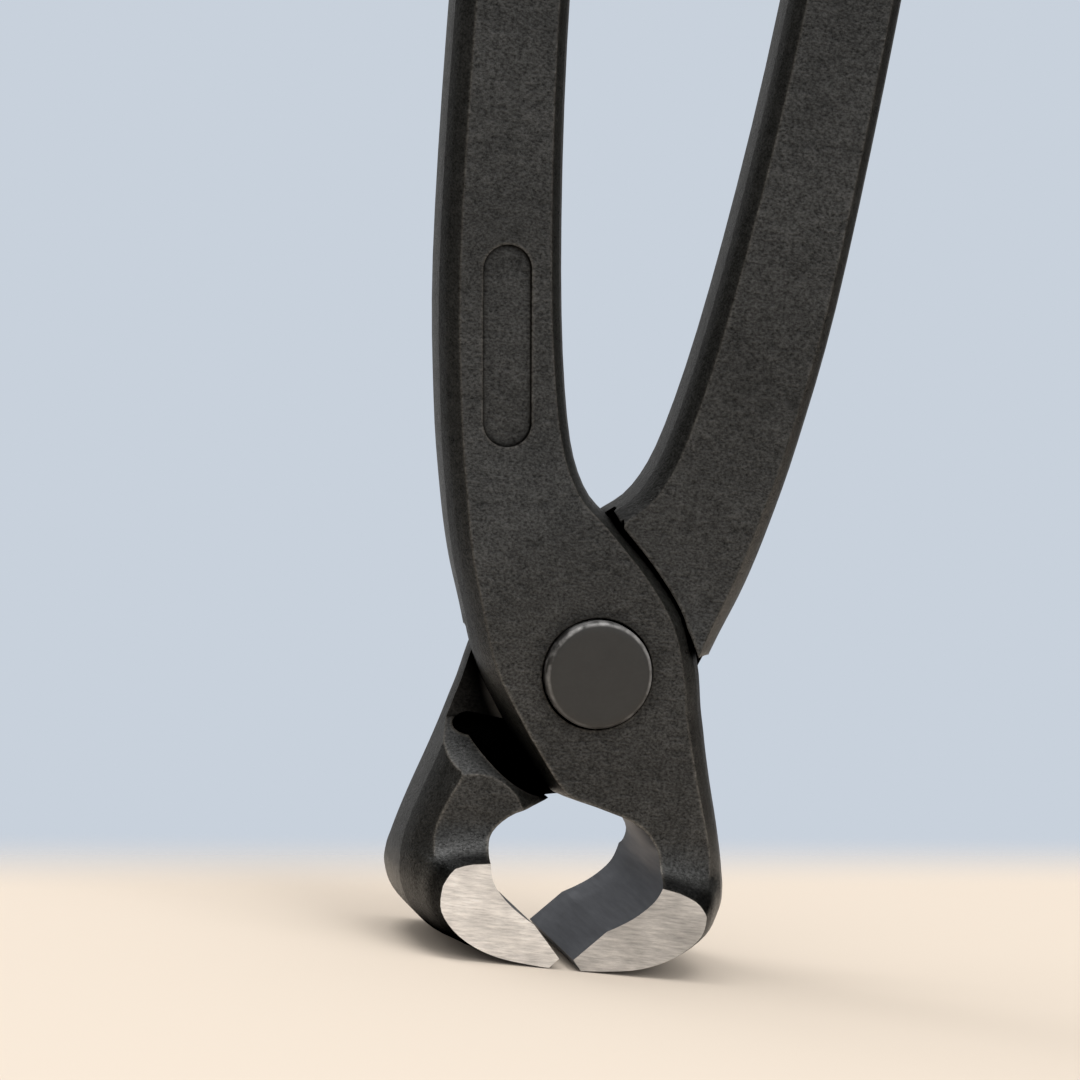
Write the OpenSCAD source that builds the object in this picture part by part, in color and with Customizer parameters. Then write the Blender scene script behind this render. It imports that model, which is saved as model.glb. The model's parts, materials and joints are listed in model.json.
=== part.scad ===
// End cutting nippers: two crossed forged levers that turn on one rivet.
// X runs across the jaws, Y along the rivet with the front at -Y, and Z up the handles.
// The origin lies under the cutting edges, on the surface that the jaws stand on.
// Lengths are in millimetres. A lever is described shut, then opened to the gap as drawn.

/* [Overall] */
// Length from the underside of the jaws to the ends of the handles, shut
overall_len = 250; // [220:1:300]
// Gap between the two cutting edges as drawn
edge_gap = 1.5; // [0.4:0.1:5]

/* [Jaws] */
// Width across both jaws when they are shut
head_w = 33.8; // [32:0.2:36]
// From the rivet's axis down to the underside of the jaws
jaw_drop = 29.9; // [28.5:0.1:32]
// Length of the cutting edges, front to back
jaw_depth = 21; // [18:0.5:25]
// Height of a cutting edge above the underside
edge_rise = 1.1; // [0.7:0.1:1.5]
// Slope of the bevel ground inside a cutting edge, degrees
bevel_angle = 45; // [42:1:50]
// Slope of the relief ground under a cutting edge, degrees
relief_angle = 50; // [40:1:60]

/* [Joint] */
// Thickness across both plates of the lap joint
joint_t = 14; // [12:0.5:17]
// Radius of the round side of each plate, about the rivet
joint_r = 11.7; // [11:0.1:12.4]
// Clearance between the two lapped faces
lap_gap = 0.1; // [0.06:0.02:0.3]
// Clearance round a swinging plate
swing_clear = 0.3; // [0.2:0.05:0.6]
// Full opening from shut, degrees
open_max = 25; // [18:1:30]

/* [Handles] */
// Width of a handle half way along
handle_w = 11.4; // [10:0.2:13]
// Thickness of a handle, front to back
handle_t = 8.8; // [7.5:0.1:10]
// From the tool's middle to the outside of a handle, shut
handle_reach = 21.9; // [20:0.1:25]
// How far the rounded sides stand out past the flat faces
side_round = 1.8; // [1.2:0.1:2.2]

/* [Handle recess] */
// Length of the shallow recess on the outer face of each handle
recess_len = 20.3; // [14:0.1:24]
// Width of the recess
recess_w = 5; // [3:0.1:6]
// Depth of the recess
recess_depth = 0.4; // [0.2:0.05:0.7]
// Height of the recess's lower end above the rivet's axis, shut
recess_z = 22; // [20:0.5:28]

/* [Rivet] */
// Diameter of the rivet's shank
rivet_d = 8.8; // [7:0.1:9.4]
// Diameter of the rivet's heads
rivet_head_d = 11; // [10.4:0.1:12]
// Height of a head above the plate
rivet_proud = 1.2; // [0.6:0.1:2]
// Depth of a head's seat in the plate
rivet_seat = 0.8; // [0.5:0.1:1.5]
// Chamfer round a head
rivet_chamfer = 0.35; // [0.2:0.05:0.6]
// Clearance round a head in its seat
head_clear = 0.25; // [0.15:0.05:0.4]
// Clearance round the shank in the front lever, which holds it
rivet_fit = 0.02; // [0.01:0.01:0.04]
// Clearance round the shank in the rear lever, which turns on it
rivet_run = 0.05; // [0.03:0.01:0.1]

/* [Hidden] */
$fn = 96;
// Sections drawn between two stations of a lever
steps = 4;
// How far a cut runs past the surface that it opens
overrun = 2;
// Steps of the sums that follow a plate through its swing, degrees
swing_step = 3;

half_open = asin(edge_gap / 2 / (jaw_drop - edge_rise));
relief_x = edge_rise / tan(relief_angle);
pivot_h = jaw_drop * cos(half_open) - relief_x * sin(half_open);
handle_h = overall_len - jaw_drop;
edge_z = edge_rise - jaw_drop;

// Stations along a lever, seen from the front with its handle on the left.
// Edge a is the outside of the handle, the lower left of the plate and the hollow of the jaw.
// Edge b is the inside of the handle, the round of the plate and the outside of the jaw.

// Share of side_round that the inner edge of a handle has on the lap side
lap_round_share = 0.78;
// Handle: height as a share of handle_h, outside of handle_reach, width of handle_w
handle_shares = [
    [0.286, 0.965, 1.065],
    [0.41, 0.992, 1.03],
    [0.57, 1, 1],
    [0.77, 0.972, 0.94],
    [0.975, 0.92, 0.88],
];
// Joint: edge a and edge b as shares of joint_r, front and back depth as shares of the way
// from the handle's half thickness to the joint's, rounding of edge a in front, draft of edge a
// behind and rounding of edge b as shares of side_round
joint_shares = [
    [-1.71, 3.42, -0.6, 3.42, 0.08, 0, 1, 0, 1],
    [-1.573, 2.2, -0.407, 2.16, 0.3, 0.03, 1, 0.1, 1],
    [-1.45, 1.453, -0.207, 1.59, 0.62, 0.1, 0.95, 0.3, 0.95],
    [-1.328, 0.897, 0.085, 1.3, 0.85, 0.15, 0.85, 0.5, 0.9],
    [-1.172, 0.427, 0.479, 0.94, 0.98, 0.3, 0.75, 0.6, 1.1],
    [-0.995, -0.05, 0.82, 0.556, 1, 0.8, 0.68, 0.6, 1.4],
    [-0.7, -0.513, 0.991, 0.137, 1, 1, 0.65, 0.4, 1.55],
    [-0.479, -0.82, 1.068, -0.256, 1, 1, 0.65, 0.2, 1.55],
    [-0.325, -1.009, 1.111, -0.444, 1, 1, 0.6, 0, 1.5],
    [-0.214, -1.103, 1.141, -0.581, 1, 1, 0.5, 0, 1.45],
    [-0.094, -1.141, 1.171, -0.709, 1, 1, 0.4, 0, 1.4],
];
// Jaw: edge a and edge b as shares of half of head_w and of jaw_drop, flare in front and behind
// as shares of the way from the joint's half thickness to the jaw's, rounding of edge a, of edge b
// in front and of edge b behind as shares of side_round, and the shares of the depth lost towards
// edge b in front and behind
jaw_shares = [
    [0.107, 0.468, 0.852, 0.368, 0, 0, 0.3, 1.35, 1.4, 0, 0],
    [0.331, 0.508, 0.911, 0.488, 0, 0, 0.25, 1.3, 1.25, 0, 0],
    [0.462, 0.579, 0.959, 0.595, 0.03, 0.04, 0.2, 1.3, 1.25, 0.02, 0.02],
    [0.495, 0.643, 0.987, 0.671, 0.25, 0.5, 0.12, 1.5, 1.5, 0.06, 0.1],
    [0.495, 0.689, 0.996, 0.726, 0.9, 1.35, 0.08, 1.65, 1.85, 0.12, 0.19],
    [0.462, 0.742, 0.982, 0.793, 1.45, 1.65, 0, 1.8, 2, 0.14, 0.17],
    [0.367, 0.796, 0.899, 0.876, 1.57, 1.57, 0, 1.5, 1.6, 0.1, 0.1],
    [0.26, 0.836, 0.722, 0.95, 1.57, 1.57, 0, 1.2, 1.2, 0.06, 0.06],
    [0.136, 0.873, 0.45, 0.99, 1.57, 1.57, 0, 0.5, 0.5, 0, 0],
    [-0.012, 0.92, 0.178, 1, 1.57, 1.57, 0, 0.15, 0.15, 0, 0],
    [-0.142, 0.96, -0.089, 1, 1.57, 1.57, 0, 0, 0, 0, 0],
];
// Places across a side, from the front face to the back face, and how sharply it rounds off
side_shares = [-1, -0.86, -0.68, -0.4, 0.4, 0.68, 0.86, 1];
side_power = 2.4;
// Places across the front and back faces, from edge a to edge b
face_shares = [0.35, 0.7];
// Turns of the rounded handle end, degrees, and the share of the thickness that its tip keeps
end_turns = [80, 68, 56, 44, 32, 20, 10];
end_thick_share = 0.55;
// Where the recess's two ends lie across the handle's face, from edge a to edge b
recess_shares = [0.47, 0.512];
// Depths of the sections of the clearance for the other plate, as shares of half of joint_t
room_shares = [0.15, 0.3, 0.45, 0.6, 0.75, 0.9];
// Clearance at the foot of a jaw's boss, about the rivet, as a share of joint_r
foot_share = 1.2;
// Boss of a jaw beside the other plate: its middle as shares of half of head_w and of jaw_drop,
// and its radii as shares of joint_r at depths that are shares of half of joint_t
boss_shares = [0.604, 0.569];
boss_slope_shares = [[0.87, 0], [0.735, 0.36], [0.54, 0.83], [0.49, 0.95], [0.44, 1.02], [0.36, 1.07], [0.2, 1.1]];
// Rounded relief at the foot of the boss: the middles and radii of its corners as shares of joint_r,
// and the height of its middle above the lapped face as a share of half of joint_t
relief_shares = [[0.923, -0.709, 0.171], [0.598, -0.735, 0.171], [0.427, -1.051, 0.137]];
relief_rise_share = 0.083;
relief_fn = 24;
// How far the bevel's cut reaches along its slope, as a share of half of head_w
bevel_reach_share = 0.48;
// Angles about the rivet that the clearance for the other plate covers, degrees
sweep_from = -24;
sweep_to = 97;

handle_half = handle_t / 2;
joint_half = joint_t / 2;
jaw_half = jaw_depth / 2;
head_half = head_w / 2;

// A station is [ax, az, bx, bz, front depth, back depth, rounding of a, of b in front and of b
// behind, depth lost towards b in front and behind, draft of a behind].
function handle_station(s) =
    let (z = s[0] * handle_h, x = -s[1] * handle_reach)
    [x, z, x + s[2] * handle_w, z, handle_half, handle_half,
     side_round, side_round, lap_round_share * side_round, 0, 0, 0];
function joint_depth(share) = handle_half + share * (joint_half - handle_half);
function joint_station(s) =
    [s[0] * joint_r, s[1] * joint_r, s[2] * joint_r, s[3] * joint_r,
     joint_depth(s[4]), joint_depth(s[5]),
     s[6] * side_round, s[8] * side_round, lap_round_share * s[8] * side_round, 0, 0, s[7] * side_round];
function jaw_depth_at(share) = joint_half + share * (jaw_half - joint_half);
function jaw_station(s) =
    [s[0] * head_half, -s[1] * jaw_drop, s[2] * head_half, -s[3] * jaw_drop,
     jaw_depth_at(s[4]), jaw_depth_at(s[5]),
     s[6] * side_round, s[7] * side_round, s[8] * side_round, s[9], s[10], 0];

// The rounded end of the handle, drawn in from its last station.
function end_station(turn) =
    let (
        s = handle_station(handle_shares[len(handle_shares) - 1]),
        mid = (s[0] + s[2]) / 2,
        half = (s[2] - s[0]) / 2 * cos(turn),
        thick = handle_half * (end_thick_share + (1 - end_thick_share) * cos(turn)),
        z = s[1] + (handle_h - s[1]) * sin(turn),
        side = side_round * cos(turn)
    )
    [mid - half, z, mid + half, z, thick, thick, side, side, lap_round_share * side, 0, 0, 0];

stations = [
    for (i = [len(handle_shares) - 1 : -1 : 0]) handle_station(handle_shares[i]),
    for (s = joint_shares) joint_station(s),
    for (s = jaw_shares) jaw_station(s),
];

// A smooth curve through all the stations.
function between(i, t) =
    let (
        last = len(stations) - 1,
        p = stations[max(i - 1, 0)],
        q = stations[i],
        r = stations[i + 1],
        s = stations[min(i + 2, last)]
    )
    q + t / 2 * (r - p + t * (2 * p - 5 * q + 4 * r - s + t * (3 * q - p - 3 * r + s)));
sections = [
    for (turn = end_turns) end_station(turn),
    for (i = [0 : len(stations) - 2])
        for (k = [0 : steps - 1]) between(i, k / steps),
    stations[len(stations) - 1],
];

// One ring of points: down side a from front to back, across the back, up side b, across the front.
function side_depth(s, share) = share < 0 ? share * s[4] : share * s[5];
function side_in(share) = pow(abs(share), side_power);
function in_a(s, share) = s[6] * side_in(share) + s[11] * max(share, 0);
function round_b(s, share) = share < 0 ? s[7] : s[8];
function front_depth(s, share) = 1 - s[9] * share * share;
function back_depth(s, share) = 1 - s[10] * share * share;
function ring(s) =
    let (
        a = [s[0], s[1]],
        b = [s[2], s[3]],
        along = (b - a) / norm(b - a),
        front_a = a + along * s[6],
        back_a = a + along * (s[6] + s[11]),
        front_b = b - along * s[7],
        back_b = b - along * s[8]
    )
    [
        for (share = side_shares)
            let (p = a + along * in_a(s, share))
            [p[0], side_depth(s, share), p[1]],
        for (share = face_shares)
            let (p = back_a + (back_b - back_a) * share)
            [p[0], s[5] * back_depth(s, share), p[1]],
        for (i = [len(side_shares) - 1 : -1 : 0])
            let (share = side_shares[i], p = b - along * round_b(s, share) * side_in(share))
            [p[0], side_depth(s, share) * (share < 0 ? front_depth(s, 1) : back_depth(s, 1)), p[1]],
        for (i = [len(face_shares) - 1 : -1 : 0])
            let (share = face_shares[i], p = front_a + (front_b - front_a) * share)
            [p[0], -s[4] * front_depth(s, share), p[1]],
    ];

ring_n = 2 * (len(side_shares) + len(face_shares));
function skin(i, k) =
    let (p = i * ring_n + k, q = i * ring_n + (k + 1) % ring_n)
    [[p, q + ring_n, q], [p, p + ring_n, q + ring_n]];
function middle(s) = [(s[0] + s[2]) / 2, 0, (s[1] + s[3]) / 2];

// The forging, before any machining: a skin over the rings, closed to a point at each end.
module forging() {
    last = len(sections) - 1;
    tip = len(sections) * ring_n;
    polyhedron(
        points = [
            for (s = sections) each ring(s),
            [middle(sections[0])[0], 0, handle_h],
            middle(sections[last]) - [overrun, 0, 0],
        ],
        faces = [
            for (k = [0 : ring_n - 1]) [tip, k, (k + 1) % ring_n],
            for (i = [0 : last - 1]) for (k = [0 : ring_n - 1]) each skin(i, k),
            for (k = [0 : ring_n - 1]) [tip + 1, last * ring_n + (k + 1) % ring_n, last * ring_n + k],
        ]
    );
}

// Edge b at a depth in front, as angles about the rivet and distances from it.
function edge_b_polar(depth) = [
    for (s = sections)
        let (
            a = [s[0], s[1]],
            b = [s[2], s[3]],
            p = b - (b - a) / norm(b - a) * s[7] * side_in(min(depth / s[4], 1))
        )
        [atan2(p[1], p[0]), norm(p)],
];
function swept_r(angle, polar) =
    swing_clear + max([for (turn = [0 : swing_step : open_max]) lookup(angle - turn, polar)]);

// One section of the room behind the plate for the other plate, through its whole swing.
function room_ring(y, depth) =
    let (polar = edge_b_polar(depth), far = 2 * joint_r)
    [
        [0, y, 0],
        for (a = [sweep_from : swing_step : sweep_to]) swept_r(a, polar) * [-cos(a), 0, sin(a)] + [0, y, 0],
        [far, y, swept_r(sweep_to, polar)],
        [far, y, 0],
    ];

// Room for the other plate: its sides lean with the rounded side of that plate.
module swing_room(room) {
    rings = [
        room_ring(-lap_gap / 2, 0),
        for (share = room_shares) room_ring(share * joint_half, share * joint_half),
        room_ring(room, joint_half),
    ];
    n = len(rings[0]);
    last = len(rings) - 1;
    polyhedron(
        points = [for (r = rings) each r],
        faces = [
            for (k = [1 : n - 2]) [0, k, k + 1],
            for (i = [0 : last - 1])
                for (k = [0 : n - 1])
                    let (p = i * n + k, q = i * n + (k + 1) % n)
                    each [[p, q + n, q], [p, p + n, q + n]],
            for (k = [1 : n - 2]) [last * n, last * n + k + 1, last * n + k],
        ]
    );
}

// Upper end of the jaw behind the plate: a boss with a sloping round end, clear of the other plate.
module boss_room(room) {
    far = 2 * joint_r;
    mid = [boss_shares[0] * head_half, 0, -boss_shares[1] * jaw_drop];
    slope = [for (s = boss_slope_shares) [s[0] * joint_r, s[1] * joint_half]];
    high = slope[len(slope) - 1][1];
    difference() {
        translate([0, -lap_gap / 2, mid[2]])
            cube([far, room + lap_gap / 2, -mid[2]]);
        translate(mid)
            rotate([-90, 0, 0])
                rotate_extrude()
                    polygon([[0, -overrun], [slope[0][0], -overrun], each slope, [0, high]]);
    }
    intersection() {
        translate([0, -lap_gap / 2, 0])
            rotate([-90, 0, 0])
                cylinder(r = foot_share * joint_r, h = room + lap_gap / 2);
        translate([-far, -room, -far])
            cube([2 * far, 2 * room, far]);
    }
}

// Rounded relief at the foot of the boss.
module foot_relief() {
    hull()
        for (s = relief_shares)
            translate([s[0] * joint_r, relief_rise_share * joint_half, s[1] * joint_r])
                sphere(r = s[2] * joint_r, $fn = relief_fn);
}

// Ground bevel inside the cutting edge and relief under it.
module edge_grinding() {
    wide = jaw_depth + 2 * overrun;
    reach = bevel_reach_share * head_half;
    translate([0, -wide / 2, edge_z])
        rotate([0, -bevel_angle, 0])
            translate([-reach, 0, 0])
                cube([2 * reach, wide, reach]);
    translate([0, -wide / 2, edge_z])
        rotate([0, relief_angle, 0])
            translate([-reach, 0, -reach])
                cube([2 * reach, wide, reach]);
}

// A point of the handle's front face at a height, a share of the way from edge a to edge b.
face_a = [for (s = sections) if (s[1] > 0) [s[1], s[0]]];
face_b = [for (s = sections) if (s[1] > 0) [s[1], s[2]]];
face_y = [for (s = sections) if (s[1] > 0) [s[1], -s[4]]];
function face_point(z, share) =
    [lookup(z, face_a) * (1 - share) + lookup(z, face_b) * share, lookup(z, face_y), z];

// Shallow bare recess with round ends, along the handle's front face.
module handle_recess() {
    low = face_point(recess_z + recess_w / 2, recess_shares[0]);
    high = face_point(recess_z + recess_len - recess_w / 2, recess_shares[1]);
    run = norm(high - low);
    translate(low)
        rotate([-asin((high[1] - low[1]) / run), atan2(high[0] - low[0], high[2] - low[2]), 0]) {
            for (z = [0, run])
                translate([0, recess_depth, z])
                    rotate([90, 0, 0])
                        cylinder(d = recess_w, h = recess_depth + overrun);
            translate([-recess_w / 2, -overrun, 0])
                cube([recess_w, recess_depth + overrun, run]);
        }
}

// Bore for the rivet's shank and the seat of its head in the front face.
module rivet_hole(clear) {
    rotate([90, 0, 0])
        cylinder(d = rivet_d + 2 * clear, h = 2 * (joint_half + overrun), center = true);
    translate([0, rivet_seat - joint_half, 0])
        rotate([90, 0, 0])
            cylinder(d = rivet_head_d + 2 * head_clear, h = rivet_seat + overrun);
}

// One lever, shut, with its handle on the left and its jaw on the right.
module lever(clear) {
    span = 2 * (overall_len + head_w);
    difference() {
        intersection() {
            forging();
            translate([-span / 2, -jaw_half, -span / 2])
                cube([span, jaw_depth, span]);
        }
        swing_room(jaw_half + overrun);
        boss_room(jaw_half + overrun);
        foot_relief();
        edge_grinding();
        handle_recess();
        rivet_hole(clear);
    }
}

module front_lever() {
    color("#34332f")
        translate([0, 0, pivot_h])
            rotate([0, -half_open, 0])
                lever(rivet_fit);
}

// The same forging, turned half round about the tool's long axis.
module rear_lever() {
    color("#3a3935")
        translate([0, 0, pivot_h])
            rotate([0, half_open, 0])
                rotate([0, 0, 180])
                    lever(rivet_run);
}

// Shank with a chamfered head on each side, seated in the plates.
module rivet() {
    shank_r = rivet_d / 2;
    head_r = rivet_head_d / 2;
    under = joint_half - rivet_seat + lap_gap / 2;
    top = joint_half + rivet_proud;
    upper = [
        [shank_r, under],
        [head_r, under],
        [head_r, top - rivet_chamfer],
        [head_r - rivet_chamfer, top],
        [0, top],
    ];
    color("#45443f")
        translate([0, 0, pivot_h])
            rotate([90, 0, 0])
                rotate_extrude()
                    polygon([
                        each upper,
                        for (i = [len(upper) - 1 : -1 : 0]) [upper[i][0], -upper[i][1]],
                    ]);
}

front_lever();
rear_lever();
rivet();
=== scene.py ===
"""Looks of a pair of end cutting nippers: two black forged levers on one rivet, with ground jaw ends.

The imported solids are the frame. Each lever's skin is a welded copy of its solid with the surfaces of the
real tool, and the rivet is turned anew with a rounded rim. Lengths are in metres, Z is up the handles and
the front is -Y.
"""

import json
import math

import bmesh
import bpy
from bpy.props import FloatProperty, FloatVectorProperty, PointerProperty
from mathutils import Matrix, Vector


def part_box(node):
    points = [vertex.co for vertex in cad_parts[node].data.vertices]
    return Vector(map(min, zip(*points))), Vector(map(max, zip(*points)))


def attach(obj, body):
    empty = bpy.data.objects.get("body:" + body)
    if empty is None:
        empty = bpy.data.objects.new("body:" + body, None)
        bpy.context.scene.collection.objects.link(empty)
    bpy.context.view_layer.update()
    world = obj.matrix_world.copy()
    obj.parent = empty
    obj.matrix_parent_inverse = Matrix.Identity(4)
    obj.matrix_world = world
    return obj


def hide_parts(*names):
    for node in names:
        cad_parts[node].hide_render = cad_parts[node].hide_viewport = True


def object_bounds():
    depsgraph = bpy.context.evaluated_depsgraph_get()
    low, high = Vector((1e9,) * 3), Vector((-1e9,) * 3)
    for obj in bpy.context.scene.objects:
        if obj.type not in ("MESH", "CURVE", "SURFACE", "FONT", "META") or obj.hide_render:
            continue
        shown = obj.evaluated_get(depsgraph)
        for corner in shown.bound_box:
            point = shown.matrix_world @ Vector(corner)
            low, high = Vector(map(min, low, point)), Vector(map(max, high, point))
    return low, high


bl_info = {
    "name": "End cutting nippers",
    "version": (1, 0, 0),
    "blender": (4, 5, 0),
    "location": "View3D > Sidebar > Nippers",
    "description": "Dresses the packed nippers with forged, ground and turned steel on a plain stage",
    "category": "Object",
}

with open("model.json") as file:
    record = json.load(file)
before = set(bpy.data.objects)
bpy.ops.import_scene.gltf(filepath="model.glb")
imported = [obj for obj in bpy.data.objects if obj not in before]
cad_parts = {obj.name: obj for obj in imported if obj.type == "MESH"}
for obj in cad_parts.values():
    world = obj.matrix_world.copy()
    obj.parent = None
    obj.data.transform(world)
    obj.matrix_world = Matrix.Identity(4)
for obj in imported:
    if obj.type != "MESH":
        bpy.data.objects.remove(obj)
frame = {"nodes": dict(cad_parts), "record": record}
CAD_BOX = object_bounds()
MM = 0.001
PIVOT = Vector(frame["record"]["behaviour"]["joints"][0]["pos_m"])
JAW_FACE_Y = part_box("front_lever")[1].y
RIVET_LOW, RIVET_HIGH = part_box("rivet")
RIVET_R = (RIVET_HIGH.x - RIVET_LOW.x) / 2

# Finishes of a lever, in the order of its material slots
OXIDE, GROUND, HOLLOW, LAPPED = range(4)
# How a lever's faces are told apart: places and slacks in mm from the rivet's middle, and how much of a face's
# normal lies along the rivet (square on, tilt) or across the tool (facing)
SQUARE_ON = 0.999
JAW_END_SLACK = 0.02
LAP_SLACK = 0.3
HOLLOW_MIDDLE_Z, HOLLOW_LOW_Z, HOLLOW_HIGH_Z, HOLLOW_REACH = -20.5, -30, -15.6, 9.8
HOLLOW_TILT = 0.35
BEVEL_HIGH_Z, BEVEL_REACH = -28, 2.5
BEVEL_TILT, BEVEL_FACING = 0.05, -0.5

# Meshes: welding distances, angles from which an edge is sharp, and steps of a full turn
LEVER_WELD, RIVET_WELD = 0.002 * MM, 0.001 * MM
LEVER_SHARP, RIVET_SHARP = math.radians(30), math.radians(35)
TURN_STEPS = 96
# A rivet head's face falls by this share of the rim before the rim's curve begins
FACE_FALL = 0.02

# Stage: way to the floor's back edge, which lies level in the picture, and the floor's size and gap to the part
FLOOR_BACK = Vector((-0.45, 0.89, 0))
FLOOR_R, FLOOR_GAP = 1.6, 0.05 * MM
# Lamps: name, place, height of the point on the Z axis that it looks at, size and power
SOFTBOXES = (
    ("top_box", (0.15, -0.2, 1.0), 0.08, 0.45, 2.0),
    ("left_box", (-0.35, 0.1, 1.0), 0.03, 0.42, 3.4),
    ("front_box", (0.35, -0.95, 0.5), 0.06, 0.5, 2.0),
)
# The photograph's view: from the left, a little above, leaning
CAMERA_PLACE = PIVOT + Vector((-143.911, -585.297, 78.316)) * MM
CAMERA_AIM = PIVOT + Vector((-7.262, -4.572, 12.659)) * MM
CAMERA_LEAN = math.radians(7.85)
CAMERA_LENS, CAMERA_SENSOR = 198, 36


def linear(hex_colour):
    """An sRGB hex colour as linear red, green and blue."""
    channels = [int(hex_colour[i : i + 2], 16) / 255 for i in (1, 3, 5)]
    return tuple(c / 12.92 if c <= 0.04045 else ((c + 0.055) / 1.055) ** 2.4 for c in channels)


def add(tree, kind, settings=None, **inputs):
    """Adds a shader node.

    Inputs are named with _ for a space, or i and a number, and hold a value or a socket.
    """
    made = tree.nodes.new(kind)
    for name, value in (settings or {}).items():
        setattr(made, name, value)
    for name, value in inputs.items():
        key = int(name[1:]) if name[1:].isdigit() else name.replace("_", " ")
        if isinstance(value, bpy.types.NodeSocket):
            tree.links.new(value, made.inputs[key])
        else:
            made.inputs[key].default_value = value
    return made


def reckon(tree, operation, first, second=0.0):
    """A sum on one or two values."""
    return add(tree, "ShaderNodeMath", {"operation": operation}, i0=first, i1=second).outputs["Value"]


def vector(tree, operation, first, second=(0, 0, 0), out="Vector"):
    """A sum on one or two vectors."""
    return add(tree, "ShaderNodeVectorMath", {"operation": operation}, i0=first, i1=second).outputs[out]


def along(tree, place, axis):
    """A place's measure along an axis."""
    return add(tree, "ShaderNodeSeparateXYZ", Vector=place).outputs[axis]


def noise(tree, place, size, detail=4.0, roughness=0.6):
    """Noise with lumps of about that size, mostly between 0.3 and 0.7."""
    made = add(tree, "ShaderNodeTexNoise", Vector=place, Scale=1 / size, Detail=detail, Roughness=roughness)
    return made.outputs["Fac"]


def spread(tree, value, low, high, start=0.3, end=0.7, curve="LINEAR"):
    """Maps start to end onto low to high."""
    made = add(
        tree, "ShaderNodeMapRange", {"interpolation_type": curve}, Value=value,
        From_Min=start, From_Max=end, To_Min=low, To_Max=high,
    )
    return made.outputs["Result"]


def eased(tree, value, low, high, start, end):
    """Maps start to end onto low to high, with soft ends."""
    return spread(tree, value, low, high, start, end, "SMOOTHSTEP")


def times(tree, first, *others):
    """Product of values."""
    for other in others:
        first = reckon(tree, "MULTIPLY", first, other)
    return first


def tinted(tree, colour, tone):
    """A colour made lighter or darker by a tone."""
    return add(tree, "ShaderNodeVectorMath", {"operation": "SCALE"}, i0=colour, Scale=tone).outputs["Vector"]


def blend(tree, share, first, second):
    """A mix of two colours."""
    return add(tree, "ShaderNodeMix", {"data_type": "RGBA"}, i0=share, i6=first, i7=second).outputs[2]


def stretched(tree, place, x, y, z, turn=0.0):
    """Coordinates divided by a length along each axis, after a turn about Y in degrees."""
    made = add(
        tree, "ShaderNodeMapping", Vector=place, Scale=(1 / x, 1 / y, 1 / z),
        Rotation=(0, math.radians(turn), 0),
    )
    return made.outputs["Vector"]


def bump(tree, height, strength, distance, **normal):
    """A normal that follows a height."""
    made = add(tree, "ShaderNodeBump", Strength=strength, Distance=distance, Height=height, **normal)
    return made.outputs["Normal"]


class NipperSizes(bpy.types.PropertyGroup):
    """Sizes of the finish."""

    edge_round: FloatProperty(
        name="Edge rounding", description="Radius that tumbling left on forged edges",
        default=0.3 * MM, min=0.0, max=1.0 * MM, precision=5, subtype="DISTANCE", unit="LENGTH",
    )
    grain: FloatProperty(
        name="Forging grain", description="Width of the grains of the blasted forging",
        default=0.24 * MM, min=0.05 * MM, max=1.0 * MM, precision=5, subtype="DISTANCE", unit="LENGTH",
    )
    scratch: FloatProperty(
        name="Grinding scratch", description="Spacing of the scratches on the ground jaw ends",
        default=0.22 * MM, min=0.05 * MM, max=1.0 * MM, precision=5, subtype="DISTANCE", unit="LENGTH",
    )
    # painted shade: how far the darkening of corners reaches
    corner: FloatProperty(
        name="Dark corners", description="How far a corner's oil and shadow reach",
        default=9 * MM, min=1 * MM, max=20 * MM, precision=4, subtype="DISTANCE", unit="LENGTH",
    )
    # painted shade: how far the darkening along creases, as round the rivet head, reaches
    crease: FloatProperty(
        name="Dark creases", description="How far the dirt in a crease reaches",
        default=1.8 * MM, min=0.2 * MM, max=5 * MM, precision=4, subtype="DISTANCE", unit="LENGTH",
    )
    rivet_rim: FloatProperty(
        name="Rivet rim", description="Width of the rounded rim of a rivet head",
        default=0.55 * MM, min=0.1 * MM, max=1.0 * MM, precision=5, subtype="DISTANCE", unit="LENGTH",
    )
    rivet_shank: FloatProperty(
        name="Rivet shank", description="Radius of the shank, just inside the solid's",
        default=4.38 * MM, min=3 * MM, max=5 * MM, precision=5, subtype="DISTANCE", unit="LENGTH",
    )
    rivet_under: FloatProperty(
        name="Rivet underside", description="From the joint's middle to the underside of a head",
        default=6.26 * MM, min=5 * MM, max=8 * MM, precision=5, subtype="DISTANCE", unit="LENGTH",
    )


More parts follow.
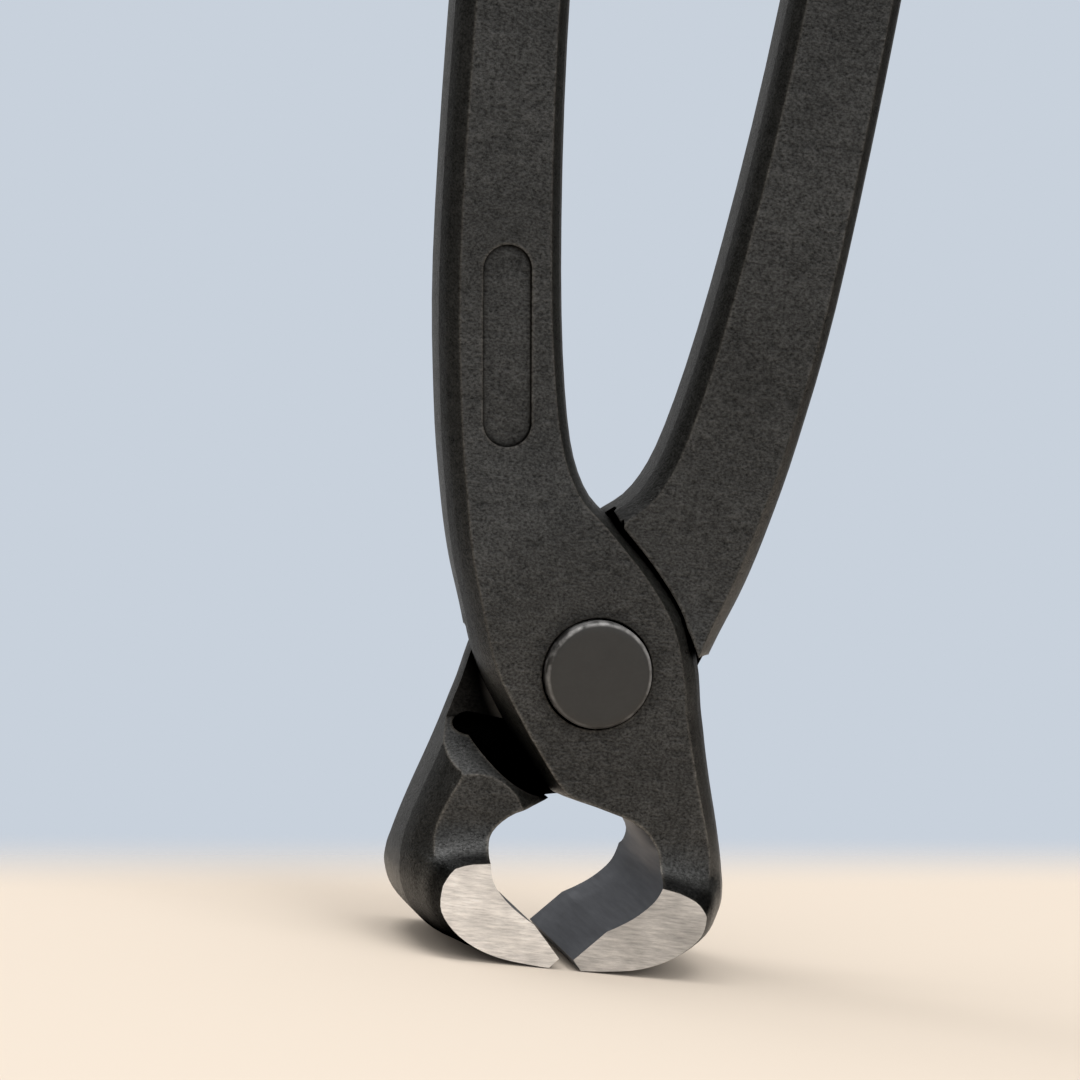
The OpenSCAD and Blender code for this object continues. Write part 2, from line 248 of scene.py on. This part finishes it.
class NipperColours(bpy.types.PropertyGroup):
    """Colours of the finishes and the stage."""

    oxide: FloatVectorProperty(
        name="Black oxide", description="Oiled black oxide on the forgings",
        default=linear("#191917"), min=0, max=1, subtype="COLOR",
    )
    bare: FloatVectorProperty(
        name="Worn edge", description="Steel that shows where the oxide has worn off",
        default=linear("#6f6a62"), min=0, max=1, subtype="COLOR",
    )
    ground: FloatVectorProperty(
        name="Ground steel", description="Bright ground ends of the jaws",
        default=linear("#f3f1ef"), min=0, max=1, subtype="COLOR",
    )
    hollow: FloatVectorProperty(
        name="Hollow steel", description="Blue grey steel of the hollow and the cutting bevels",
        default=linear("#85878b"), min=0, max=1, subtype="COLOR",
    )
    lap: FloatVectorProperty(
        name="Lap steel", description="Oily milled steel of the lapped faces",
        default=linear("#5c5a57"), min=0, max=1, subtype="COLOR",
    )
    rivet: FloatVectorProperty(
        name="Rivet steel", description="Dark satin steel of the rivet",
        default=linear("#252422"), min=0, max=1, subtype="COLOR",
    )
    floor_near: FloatVectorProperty(
        name="Floor", description="Pale floor under the tool",
        default=linear("#d9ccbd"), min=0, max=1, subtype="COLOR",
    )
    backdrop: FloatVectorProperty(
        name="Backdrop", description="Pale backdrop that the floor runs into",
        default=linear("#c8d1dc"), min=0, max=1, subtype="COLOR",
    )
    surround: FloatVectorProperty(
        name="Surround", description="Pale room that the steel reflects",
        default=linear("#d3d3d3"), min=0, max=1, subtype="COLOR",
    )


def material(name):
    """An empty material with its place coordinates."""
    made = bpy.data.materials.new(name)
    made.use_nodes = True
    made.node_tree.nodes.clear()
    return made, made.node_tree, add(made.node_tree, "ShaderNodeTexCoord").outputs["Object"]


def surface(made, **inputs):
    """Ends a material with a shader."""
    tree = made.node_tree
    shader = add(tree, "ShaderNodeBsdfPrincipled", **inputs)
    out = add(tree, "ShaderNodeOutputMaterial")
    tree.links.new(shader.outputs["BSDF"], out.inputs["Surface"])
    return made


def from_rivet(tree, place):
    """A place measured from the rivet's middle."""
    return vector(tree, "SUBTRACT", place, PIVOT)


def rivet_distance(tree, place):
    """Distance from the rivet's axis."""
    across = vector(tree, "MULTIPLY", from_rivet(tree, place), (1, 0, 1))
    return vector(tree, "LENGTH", across, out="Value")


def lap_distance(tree, place):
    """Distance from the plane of the lapped faces."""
    return reckon(tree, "ABSOLUTE", along(tree, from_rivet(tree, place), "Y"))


def painted_shade(tree, place, sizes):
    """Painted shade: 1 in the open, falling towards 0 in corners, in creases and round the joint, where shade
    falls.
    """
    # painted shade: ambient occlusion darkens corners over a wide reach and creases over a tight one
    wide = add(tree, "ShaderNodeAmbientOcclusion", {"samples": 12}, Distance=sizes.corner).outputs["AO"]
    tight = add(tree, "ShaderNodeAmbientOcclusion", {"samples": 8}, Distance=sizes.crease).outputs["AO"]
    # painted shade in the recess round the joint: dark where a surface is both near the rivet and near the
    # lapped plane
    outside = eased(tree, rivet_distance(tree, place), 0.12, 1.0, start=11 * MM, end=19 * MM)
    raised = spread(tree, lap_distance(tree, place), 0.12, 1.0, start=0.5 * MM, end=5.0 * MM)
    return times(
        tree, reckon(tree, "MAXIMUM", outside, raised), eased(tree, wide, 0.0, 1.0, start=0.3, end=0.9),
        spread(tree, tight, 0.2, 1.0, start=0.55, end=0.97),
    )


def forging_grain(tree, place, sizes):
    """Sandy grain, lumps under it, and the tone that both give: light and dark grains over soft patches,
    darkened by painted shade in corners, creases and round the joint.
    """
    size = sizes.grain
    # the grain lies a little across the tool
    grain = noise(tree, stretched(tree, place, 1.4 * size, size, size), 1.0, roughness=0.7)
    lumps = noise(tree, stretched(tree, place, 6 * size, 4 * size, 4 * size), 1.0)
    patch = noise(tree, place, 60 * size, detail=2.0)
    # the tone also carries the painted shade of corners, creases and the joint
    tone = times(
        tree, spread(tree, grain, 0.25, 1.75), spread(tree, lumps, 0.76, 1.24),
        spread(tree, patch, 0.85, 1.15), painted_shade(tree, place, sizes),
    )
    return grain, lumps, tone


def jaw_flare_painted_light(tree, place):
    """Tone of the flare at the jaw ends: a painted highlight where it starts to rise, painted shade beside the
    ground end.
    """
    out = lap_distance(tree, place)
    # painted highlight where the flare starts to rise
    rise = eased(tree, out, 1.0, 1.5, start=7.1 * MM, end=7.9 * MM)
    # painted shade beside the ground end
    fall = eased(tree, out, 1.0, 0.2, start=7.9 * MM, end=9.6 * MM)
    return times(tree, rise, fall)


def edge_wear(tree, place, sizes, tone):
    """How far the oxide has worn off: along edges, where the blunted normal departs from the flat one."""
    blunted = add(tree, "ShaderNodeBevel", {"samples": 8}, Radius=2.5 * sizes.edge_round).outputs["Normal"]
    flat = add(tree, "ShaderNodeNewGeometry").outputs["Normal"]
    match = vector(tree, "DOT_PRODUCT", blunted, flat, out="Value")
    # the jaws knock against things more than the handles do
    knocks = spread(tree, along(tree, place, "Z"), 1.0, 0.35, start=PIVOT.z - 10 * MM, end=PIVOT.z)
    # the tone carries the painted shade and the flare's painted highlight, so the wear fades in painted shade
    # and grows on that highlight
    return times(tree, spread(tree, match, 0.0, 0.55, start=0.995, end=0.88), tone, knocks)


def black_oxide_steel(sizes, colours):
    """Drop-forged steel, blasted and blackened: nearly black, satin, with a sandy grain that sparkles a little,
    painted shade in the corners and round the joint, a painted highlight and painted shade at the jaw flares,
    and bare steel just showing along the edges that rub."""
    made, tree, place = material("black_oxide_forged_steel")
    grain, lumps, tone = forging_grain(tree, place, sizes)
    # painted highlight and painted shade at the jaw flares join the tone
    tone = times(tree, tone, jaw_flare_painted_light(tree, place))
    worn = edge_wear(tree, place, sizes, tone)
    rounded = add(tree, "ShaderNodeBevel", {"samples": 6}, Radius=sizes.edge_round).outputs["Normal"]
    hammered = bump(tree, lumps, 0.6, 0.6 * sizes.grain, Normal=rounded)
    return surface(
        made, Base_Color=blend(tree, worn, tinted(tree, colours.oxide, tone), (*colours.bare, 1)),
        Roughness=spread(tree, lumps, 0.26, 0.4),
        Normal=bump(tree, grain, 0.7, 0.5 * sizes.grain, Normal=hammered),
        # the painted shade in the tone also dims the reflection
        IOR=1.5, Specular_IOR_Level=times(tree, tone, 0.5),
    )


def ground_steel(sizes, colours, name, shade, turn):
    """Jaw ends finished on a belt grinder: light warm grey steel with fine scratches across the jaws, scaled by
    shade, a painted brightness that makes one jaw end lighter and the other darker.
    """
    made, tree, place = material(name)
    size = sizes.scratch
    scratch = noise(tree, stretched(tree, place, 8 * size, size, size, turn=turn), 1.0, roughness=0.7)
    cloud = noise(tree, place, 4 * MM, detail=2.0)
    # shade is a painted brightness: one ground steel made lighter for one jaw end and darker for the other
    tone = times(tree, spread(tree, scratch, 0.65, 1.12), spread(tree, cloud, 0.78, 1.12), shade)
    return surface(
        made, Base_Color=tinted(tree, colours.ground, tone), Metallic=1.0,
        Roughness=spread(tree, scratch, 0.5, 0.34), Normal=bump(tree, scratch, 0.5, 0.1 * size),
    )


def hollow_steel(_sizes, colours):
    """Hollow and cutting bevels, milled and hardened: smooth blue grey steel, faintly marked along the edge."""
    made, tree, place = material("hardened_milled_steel")
    mark = noise(tree, stretched(tree, place, 0.5 * MM, 6 * MM, 0.5 * MM), 1.0)
    cloud = noise(tree, place, 2.5 * MM)
    tone = times(tree, spread(tree, mark, 0.85, 1.12), spread(tree, cloud, 0.85, 1.15))
    return surface(
        made, Base_Color=tinted(tree, colours.hollow, tone), Metallic=1.0,
        Specular_Tint=(0.6, 0.6, 0.62, 1), Roughness=spread(tree, cloud, 0.38, 0.5),
        Normal=bump(tree, mark, 0.3, 0.02 * MM),
    )


def lap_steel(sizes, colours):
    """Lapped faces of the joint: rubbed grey in rings round the rivet, and black oxide outside, darkened by
    painted shade.
    """
    made, tree, place = material("oiled_milled_steel")
    rings = add(
        tree, "ShaderNodeTexWave", {"wave_type": "RINGS", "rings_direction": "Y"},
        Vector=from_rivet(tree, place), Scale=1 / (12 * MM), Distortion=3.0, Detail=3.0, Detail_Scale=4.0,
    ).outputs["Fac"]
    stain = noise(tree, place, 5 * MM)
    rubbed = eased(tree, rivet_distance(tree, place), 1.0, 0.0, start=9 * MM, end=11 * MM)
    tone = times(tree, spread(tree, rings, 0.75, 1.1, start=0.0, end=1.0), spread(tree, stain, 0.6, 1.15))
    # outside the rubbed rings: oxide darkened by the painted shade of corners, creases and the joint
    black = forging_grain(tree, place, sizes)[2]
    oxide_in_painted_shade = tinted(tree, colours.oxide, black)
    return surface(
        made, Base_Color=blend(tree, rubbed, oxide_in_painted_shade, tinted(tree, colours.lap, tone)), Metallic=rubbed,
        # the painted shade also dims the reflection outside the rings
        Roughness=spread(tree, stain, 0.3, 0.5), Specular_IOR_Level=times(tree, black, 0.5),
    )


def rivet_steel(sizes, colours):
    """Rivet headed over and blackened with the tool: smooth dark satin, here and there rubbed at the rim, with
    a painted highlight on the rim's top.
    """
    made, tree, place = material("blackened_rivet_steel")
    fine = noise(tree, place, 0.35 * MM)
    cloud = noise(tree, place, 2 * MM)
    rim = spread(
        tree, rivet_distance(tree, place), 0.0, 1.0,
        start=RIVET_R - 0.8 * sizes.rivet_rim, end=RIVET_R - 0.4 * sizes.rivet_rim,
    )
    # painted highlight: the rim is made lighter towards the top than towards the bottom, as if lit from above
    height = along(tree, from_rivet(tree, place), "Z")
    painted_top_highlight = spread(tree, height, 0.25, 1.4, start=-0.8 * RIVET_R, end=0.9 * RIVET_R)
    # rubbed bare steel at the rim: partly real wear, partly the painted highlight at the top
    rubbed = times(tree, rim, spread(tree, cloud, 0.02, 0.4, start=0.4, end=0.68), painted_top_highlight)
    tone = times(tree, spread(tree, fine, 0.92, 1.08), spread(tree, cloud, 0.9, 1.1))
    return surface(
        made, Base_Color=blend(tree, rubbed, tinted(tree, colours.rivet, tone), (*colours.ground, 1)),
        Metallic=rubbed, Roughness=spread(tree, cloud, 0.4, 0.46), Normal=bump(tree, fine, 0.15, 0.02 * MM),
        IOR=1.5,
    )


def surface_of(face, side):
    """Which finish a lever's face has.

    side is 1 for the lever whose jaw is on the right and -1 for the other, which is the same turned half round.
    """
    middle = (face.calc_center_median() - PIVOT) / MM
    x, y, z = side * middle.x, side * middle.y, middle.z
    nx, ny, nz = side * face.normal.x, side * face.normal.y, face.normal.z
    if abs(ny) > SQUARE_ON and abs(y) > JAW_FACE_Y / MM - JAW_END_SLACK:
        return GROUND
    if abs(ny) > SQUARE_ON and abs(y) < LAP_SLACK:
        return LAPPED
    faces_hollow = nz * (HOLLOW_MIDDLE_Z - z) - nx * x > 0
    if abs(ny) < HOLLOW_TILT and HOLLOW_LOW_Z < z < HOLLOW_HIGH_Z and x < HOLLOW_REACH and faces_hollow:
        return HOLLOW
    if abs(ny) < BEVEL_TILT and z < BEVEL_HIGH_Z and x < BEVEL_REACH and nx < BEVEL_FACING:
        return HOLLOW
    return OXIDE


def place_mesh(name, shape):
    """An object at the origin with the mesh of a finished shape, which is freed."""
    mesh = bpy.data.meshes.new(name)
    shape.to_mesh(mesh)
    shape.free()
    piece = bpy.data.objects.new(name, mesh)
    bpy.context.scene.collection.objects.link(piece)
    return piece


def dress_lever(node, side, finishes):
    """A welded, smoothed copy of a lever's solid, with a finish on each of its surfaces."""
    shape = bmesh.new()
    shape.from_mesh(frame["nodes"][node].data)
    bmesh.ops.remove_doubles(shape, verts=shape.verts, dist=LEVER_WELD)
    shape.normal_update()
    for face in shape.faces:
        face.smooth = True
        face.material_index = surface_of(face, side)
    for edge in shape.edges:
        if len(edge.link_faces) != 2:
            continue
        a, b = edge.link_faces
        edge.smooth = edge.calc_face_angle() < LEVER_SHARP and a.material_index == b.material_index
    piece = place_mesh(node + "_skin", shape)
    for finish in finishes:
        piece.data.materials.append(finish)
    weighted = piece.modifiers.new("flat faces stay flat", "WEIGHTED_NORMAL")
    weighted.keep_sharp = True
    return piece


class NIPPERS_OT_levers(bpy.types.Operator):
    """Dresses both levers in forged, ground and milled steel"""

    bl_idname = "nippers.levers"
    bl_label = "Dress levers"

    def execute(self, context):
        sizes, colours = context.scene.nipper_sizes, context.scene.nipper_colours
        black, hollow, lap = (make(sizes, colours) for make in (black_oxide_steel, hollow_steel, lap_steel))
        # one ground steel in two painted brightnesses: a lighter jaw end and a darker one
        painted_light_ground = ground_steel(sizes, colours, "belt_ground_steel_painted_light", shade=1.11, turn=-14)
        painted_dark_ground = ground_steel(sizes, colours, "belt_ground_steel_painted_dark", shade=0.68, turn=10)
        for node, side, body, ground in (
            ("front_lever", 1, "front", painted_dark_ground),
            ("rear_lever", -1, "rear", painted_light_ground),
        ):
            piece = dress_lever(node, side, (black, ground, hollow, lap))
            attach(piece, body)
            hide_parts(node)
        return {"FINISHED"}


def rivet_outline(sizes):
    """Half the rivet's section, from head to head, as distances from its axis and along it."""
    top, rim, under = RIVET_HIGH.y, sizes.rivet_rim, sizes.rivet_under
    # from the middle of a head's face round the rim and in to the shank
    half = [(0.0, top), (RIVET_R - 2 * rim, top), (RIVET_R - rim, top - FACE_FALL * rim)]
    for turn in (20, 40, 60, 80):
        out, down = math.sin(math.radians(turn)), 1 + FACE_FALL - math.cos(math.radians(turn))
        half.append((RIVET_R - rim + rim * out, top - rim * down))
    half += [(RIVET_R, top - 1.1 * rim), (RIVET_R, under), (sizes.rivet_shank, under)]
    return [(r, -y) for r, y in half] + [(r, y) for r, y in reversed(half)]


class NIPPERS_OT_rivet(bpy.types.Operator):
    """Turns the rivet, with a rounded rim on each head"""

    bl_idname = "nippers.rivet"
    bl_label = "Turn rivet"

    def execute(self, context):
        sizes, colours = context.scene.nipper_sizes, context.scene.nipper_colours
        shape = bmesh.new()
        chain = [shape.verts.new(PIVOT + Vector((r, y, 0))) for r, y in rivet_outline(sizes)]
        edges = [shape.edges.new(pair) for pair in zip(chain, chain[1:])]
        bmesh.ops.spin(
            shape, geom=chain + edges, cent=PIVOT, axis=(0, 1, 0), angle=math.tau, steps=TURN_STEPS,
            use_merge=True,
        )
        bmesh.ops.remove_doubles(shape, verts=shape.verts, dist=RIVET_WELD)
        bmesh.ops.recalc_face_normals(shape, faces=shape.faces)
        for face in shape.faces:
            face.smooth = True
        for edge in shape.edges:
            edge.smooth = edge.calc_face_angle(0.0) < RIVET_SHARP
        piece = place_mesh("rivet_turned", shape)
        piece.data.materials.append(rivet_steel(sizes, colours))
        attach(piece, "front")
        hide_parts("rivet")
        return {"FINISHED"}


def pale_floor(colours):
    """A pale warm floor that ends softly behind the tool and far from it, where the backdrop begins."""
    made, tree, place = material("pale_floor")
    away = vector(tree, "LENGTH", place, out="Value")
    behind = vector(tree, "DOT_PRODUCT", place, FLOOR_BACK, out="Value")
    fade = reckon(
        tree, "MAXIMUM", eased(tree, away, 0.0, 1.0, start=110 * MM, end=350 * MM),
        eased(tree, behind, 0.0, 1.0, start=28 * MM, end=58 * MM),
    )
    matt = add(tree, "ShaderNodeBsdfDiffuse", Color=(*colours.floor_near, 1)).outputs["BSDF"]
    clear = add(tree, "ShaderNodeBsdfTransparent").outputs["BSDF"]
    mixed = add(tree, "ShaderNodeMixShader", i0=fade, i1=matt, i2=clear).outputs["Shader"]
    tree.links.new(mixed, add(tree, "ShaderNodeOutputMaterial").inputs["Surface"])
    return made


def studio_world(colours):
    """A pale backdrop to the eye. The steel sees a room with darker sides, so that its own sides stand out."""
    world = bpy.data.worlds.new("studio")
    world.use_nodes = True
    tree = world.node_tree
    tree.nodes.clear()
    way = add(tree, "ShaderNodeTexCoord").outputs["Generated"]
    sideways = reckon(tree, "ABSOLUTE", along(tree, way, "X"))
    sides = eased(tree, sideways, 1.0, 0.07, start=0.3, end=0.75)
    mirrored = times(tree, sides, spread(tree, along(tree, way, "Y"), 0.76, 0.62, start=-0.5, end=0.5))
    path = add(tree, "ShaderNodeLightPath").outputs
    level = add(tree, "ShaderNodeMix", i0=path["Is Glossy Ray"], i2=1.35, i3=mirrored).outputs[0]
    # the eye meets the backdrop straight on, or through something clear
    seen = reckon(tree, "MAXIMUM", path["Is Camera Ray"], path["Is Transmission Ray"])
    colour = blend(tree, seen, tinted(tree, colours.surround, level), (*colours.backdrop, 1))
    sky = add(tree, "ShaderNodeBackground", Color=colour).outputs["Background"]
    tree.links.new(sky, add(tree, "ShaderNodeOutputWorld").inputs["Surface"])
    return world


def softbox(name, place, aim_z, size, power):
    """A square area lamp that looks at a point on the Z axis."""
    lamp = bpy.data.lights.new(name, "AREA")
    lamp.shape = "SQUARE"
    lamp.size = size
    lamp.energy = power
    holder = bpy.data.objects.new(name, lamp)
    holder.location = place
    holder.rotation_mode = "QUATERNION"
    holder.rotation_quaternion = (Vector((0, 0, aim_z)) - Vector(place)).to_track_quat("-Z", "Y")
    holder.visible_camera = False
    bpy.context.scene.collection.objects.link(holder)


def leaning_camera():
    """A camera at the photograph's place, turned about its own line of sight."""
    ahead = (CAMERA_AIM - CAMERA_PLACE).normalized()
    level = ahead.cross(Vector((0, 0, 1))).normalized()
    upright = level.cross(ahead)
    right = math.cos(CAMERA_LEAN) * level + math.sin(CAMERA_LEAN) * upright
    up = math.cos(CAMERA_LEAN) * upright - math.sin(CAMERA_LEAN) * level
    lens = bpy.data.cameras.new("camera")
    lens.lens = CAMERA_LENS
    lens.sensor_width = CAMERA_SENSOR
    lens.clip_start = 10 * MM
    camera = bpy.data.objects.new("camera", lens)
    turned = Matrix((right, up, -ahead)).transposed().to_4x4()
    camera.matrix_world = Matrix.Translation(CAMERA_PLACE) @ turned
    return camera


class NIPPERS_OT_stage(bpy.types.Operator):
    """Sets the floor, the backdrop, the lamps and the camera"""

    bl_idname = "nippers.stage"
    bl_label = "Set stage"

    def execute(self, context):
        scene, colours = context.scene, context.scene.nipper_colours
        scene.view_settings.view_transform = "Standard"
        scene.world = studio_world(colours)
        shape = bmesh.new()
        bmesh.ops.create_circle(shape, cap_ends=True, segments=TURN_STEPS, radius=FLOOR_R)
        floor = place_mesh("floor", shape)
        floor.data.materials.append(pale_floor(colours))
        floor.location.z = CAD_BOX[0].z - FLOOR_GAP
        for values in SOFTBOXES:
            softbox(*values)
        camera = leaning_camera()
        scene.collection.objects.link(camera)
        scene.camera = camera
        return {"FINISHED"}


class NIPPERS_PT_sidebar(bpy.types.Panel):
    """Lists the steps and the values that they use"""

    bl_idname = "NIPPERS_PT_sidebar"
    bl_label = "End cutting nippers"
    bl_space_type = "VIEW_3D"
    bl_region_type = "UI"
    bl_category = "Nippers"

    def draw(self, context):
        for group in (context.scene.nipper_sizes, context.scene.nipper_colours):
            for name in group.__annotations__:
                self.layout.prop(group, name)
        for step in STEPS:
            self.layout.operator(step.bl_idname)


GROUPS = (NipperSizes, NipperColours)
STEPS = (NIPPERS_OT_levers, NIPPERS_OT_rivet, NIPPERS_OT_stage)


def register():
    """Adds the add-on's classes and the scene's values."""
    for kind in (*GROUPS, *STEPS, NIPPERS_PT_sidebar):
        bpy.utils.register_class(kind)
    bpy.types.Scene.nipper_sizes = PointerProperty(type=NipperSizes)
    bpy.types.Scene.nipper_colours = PointerProperty(type=NipperColours)


def unregister():
    """Takes the scene's values and the add-on's classes away again."""
    del bpy.types.Scene.nipper_colours
    del bpy.types.Scene.nipper_sizes
    for kind in (NIPPERS_PT_sidebar, *reversed(STEPS), *reversed(GROUPS)):
        bpy.utils.unregister_class(kind)


def main():
    """Builds the scene."""
    register()
    bpy.ops.nippers.levers()
    bpy.ops.nippers.rivet()
    bpy.ops.nippers.stage()


if __name__ == "__main__":
    main()
